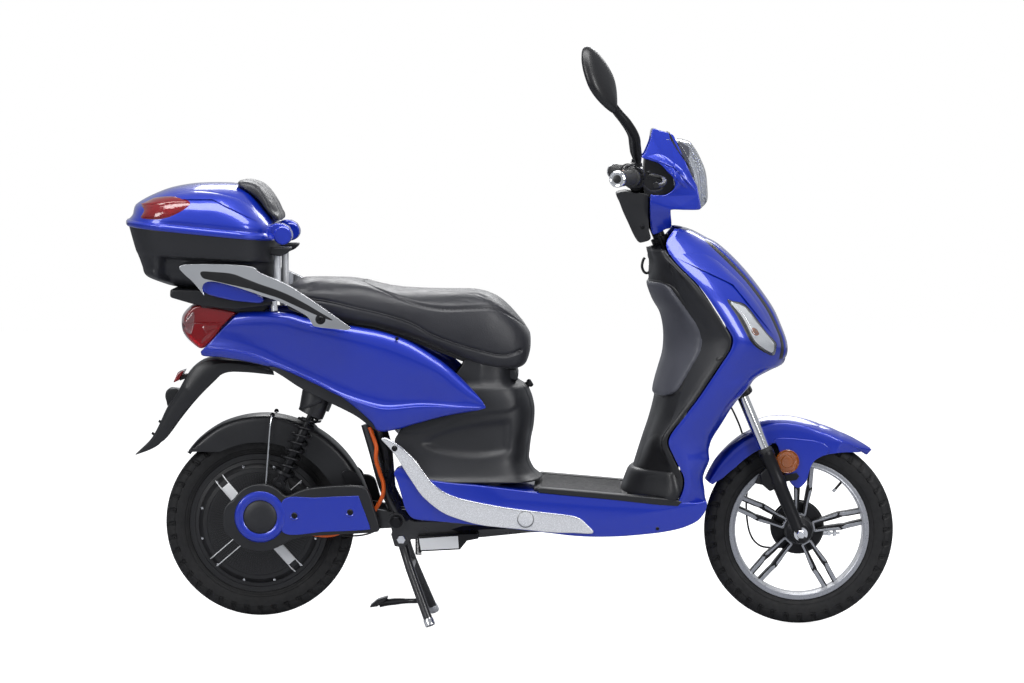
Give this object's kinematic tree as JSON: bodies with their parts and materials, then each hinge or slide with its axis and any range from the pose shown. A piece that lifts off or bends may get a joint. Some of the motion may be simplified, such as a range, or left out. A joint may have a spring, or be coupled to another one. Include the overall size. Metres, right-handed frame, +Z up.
{
  "type": "moped scooter",
  "caption": "Seated electric moped scooter with step-through floor, padded seat, top box, hub motor and centre stand.",
  "frame": {"origin": "on the ground, midway along the scooter and on its middle plane", "axes": "+X forward along the direction of travel, +Y to the rider's left, +Z up"},
  "size_m": [1.7384, 0.6876, 1.3093],
  "materials": {
    "blue_paint": "high gloss painted, clear coated",
    "black_plastic": "satin moulded",
    "grained_plastic": "grained moulded",
    "dark_plastic": "plain moulded",
    "frame_steel": "black powder coat",
    "black_metal": "black satin",
    "chrome_trim": "polished",
    "silver_trim": "satin silver",
    "alloy": "machined",
    "tyre_rubber": "moulded tread",
    "grip_rubber": "ribbed",
    "mat_rubber": "ribbed",
    "seat_leather": "fine grained synthetic leather",
    "red_lens": "moulded transparent red",
    "clear_lens": "moulded clear",
    "orange_cable": "smooth sheath"
  },
  "bodies": {
    "root": {"main_frame": "frame_steel", "battery_pack": "dark_plastic", "controller": "alloy", "body_panel_right": "blue_paint", "body_panel_left": "blue_paint", "center_cover": "black_plastic", "lower_fairing": "blue_paint", "floor_mat": "mat_rubber", "trim_right": "silver_trim", "trim_left": "silver_trim", "front_fairing": "blue_paint", "leg_shield": "black_plastic", "indicator_right": "clear_lens", "indicator_left": "clear_lens", "tail_light": "red_lens", "mudflap": "black_plastic", "rear_carrier": "chrome_trim", "topbox_base": "grained_plastic", "motor_cable": "orange_cable"},
    "lid": {"topbox_lid": "blue_paint", "backrest_pad": "seat_leather"},
    "seat": {"seat_cushion": "seat_leather", "seat_pan": "dark_plastic"},
    "swingarm": {"swingarm": "frame_steel", "rear_axle": "chrome_trim", "swingarm_cover_right": "blue_paint", "swingarm_cover_left": "blue_paint", "rear_hugger": "black_plastic"},
    "rear_wheel": {"rear_tyre": "tyre_rubber", "hub_motor": "black_metal"},
    "stand": {"center_stand": "frame_steel"},
    "steering": {"steering_stem": "frame_steel", "stanchion_right": "chrome_trim", "stanchion_left": "chrome_trim", "handlebar": "frame_steel", "grip_left": "grip_rubber", "headlight_cowl": "blue_paint", "headlight_lens": "clear_lens", "dash_cover": "black_plastic"},
    "throttle": {"throttle_grip": "grip_rubber"},
    "lever_right": {"brake_lever_right": "alloy"},
    "lever_left": {"brake_lever_left": "alloy"},
    "mirror_right": {"mirror_right": "black_plastic"},
    "mirror_left": {"mirror_left": "black_plastic"},
    "horn": {"horn_button": "dark_plastic"},
    "fork": {"fork_leg_right": "black_metal", "fork_leg_left": "black_metal", "front_axle": "chrome_trim", "brake_plate": "alloy", "front_fender": "blue_paint"},
    "front_wheel": {"front_tyre": "tyre_rubber", "front_rim": "alloy"},
    "shock_right": {"shock_body_right": "black_metal", "shock_spring_right": "black_metal"},
    "shock_slider_right": {"shock_rod_right": "black_metal"},
    "shock_left": {"shock_body_left": "black_metal", "shock_spring_left": "black_metal"},
    "shock_slider_left": {"shock_rod_left": "black_metal"}
  },
  "joints": [
    {"name": "steering_turn", "type": "hinge", "parent": "root", "child": "steering", "pos_m": [0.34, 0, 0.875], "axis": [-0.3875, 0, 0.9219], "range_deg": [-37, 37]},
    {"name": "fork_travel", "type": "slide", "parent": "steering", "child": "fork", "axis": [-0.3875, 0, 0.9219], "range_m": [0, 0.024], "stiffness_N_per_m": 9000, "springref_m": -0.03},
    {"name": "front_wheel_spin", "type": "hinge", "parent": "fork", "child": "front_wheel", "pos_m": [0.6563, 0, 0.216], "axis": [0, 1, 0], "continuous": true},
    {"name": "swingarm_swing", "type": "hinge", "parent": "root", "child": "swingarm", "pos_m": [-0.261, 0, 0.242], "axis": [0, 1, 0], "range_deg": [0, 8], "stiffness_Nm_per_rad": 1800, "springref_deg": -2.86},
    {"name": "rear_wheel_spin", "type": "hinge", "parent": "swingarm", "child": "rear_wheel", "pos_m": [-0.57865, 0, 0.23], "axis": [0, 1, 0], "continuous": true},
    {"name": "stand_fold", "type": "hinge", "parent": "root", "child": "stand", "pos_m": [-0.251, 0, 0.199], "axis": [0, 1, 0], "range_deg": [0, 90]},
    {"name": "seat_lift", "type": "hinge", "parent": "root", "child": "seat", "pos_m": [0.026, 0, 0.603], "axis": [0, 1, 0], "range_deg": [0, 75]},
    {"name": "lid_lift", "type": "hinge", "parent": "root", "child": "lid", "pos_m": [-0.513, 0, 0.893], "axis": [0, 1, 0], "range_deg": [0, 80]},
    {"name": "throttle_twist", "type": "hinge", "parent": "steering", "child": "throttle", "pos_m": [0.268, -0.215, 1.026], "axis": [-0.2524, -0.9676, 0], "range_deg": [0, 70], "stiffness_Nm_per_rad": 0.25, "springref_deg": -11.46},
    {"name": "brake_lever_right_pull", "type": "hinge", "parent": "steering", "child": "lever_right", "pos_m": [0.306, -0.196, 1.03], "axis": [0, 0, -1], "range_deg": [0, 18], "stiffness_Nm_per_rad": 4, "springref_deg": -5.73},
    {"name": "brake_lever_left_pull", "type": "hinge", "parent": "steering", "child": "lever_left", "pos_m": [0.306, 0.196, 1.03], "axis": [0, 0, 1], "range_deg": [0, 18], "stiffness_Nm_per_rad": 4, "springref_deg": -5.73},
    {"name": "mirror_right_swivel", "type": "hinge", "parent": "steering", "child": "mirror_right", "pos_m": [0.284, -0.2, 1.0495], "axis": [0, 0, 1], "range_deg": [-30, 30]},
    {"name": "mirror_left_swivel", "type": "hinge", "parent": "steering", "child": "mirror_left", "pos_m": [0.284, 0.2, 1.0495], "axis": [0, 0, 1], "range_deg": [-30, 30]},
    {"name": "horn_press", "type": "slide", "parent": "steering", "child": "horn", "axis": [1, 0, 0], "range_m": [0, 0.002], "stiffness_N_per_m": 800, "springref_m": -0.001},
    {"name": "shock_tilt_right", "type": "hinge", "parent": "root", "child": "shock_right", "pos_m": [-0.425, -0.09, 0.553], "axis": [0, 1, 0], "range_deg": [0, 0.6]},
    {"name": "shock_stroke_right", "type": "slide", "parent": "shock_right", "child": "shock_slider_right", "axis": [0.4065, 0, 0.9136], "range_m": [0, 0.0395], "deforming": ["shock_spring_right"]},
    {"name": "shock_tilt_left", "type": "hinge", "parent": "root", "child": "shock_left", "pos_m": [-0.425, 0.09, 0.553], "axis": [0, 1, 0], "range_deg": [0, 0.6]},
    {"name": "shock_stroke_left", "type": "slide", "parent": "shock_left", "child": "shock_slider_left", "axis": [0.4065, 0, 0.9136], "range_m": [0, 0.0395], "deforming": ["shock_spring_left"]}
  ],
  "couplings": [
    {"joint": "shock_tilt_right", "follows": "swingarm_swing", "ratio": 0.05543},
    {"joint": "shock_stroke_right", "follows": "swingarm_swing", "m_per_rad": 0.27748},
    {"joint": "shock_tilt_left", "follows": "swingarm_swing", "ratio": 0.05543},
    {"joint": "shock_stroke_left", "follows": "swingarm_swing", "m_per_rad": 0.27748}
  ]
}
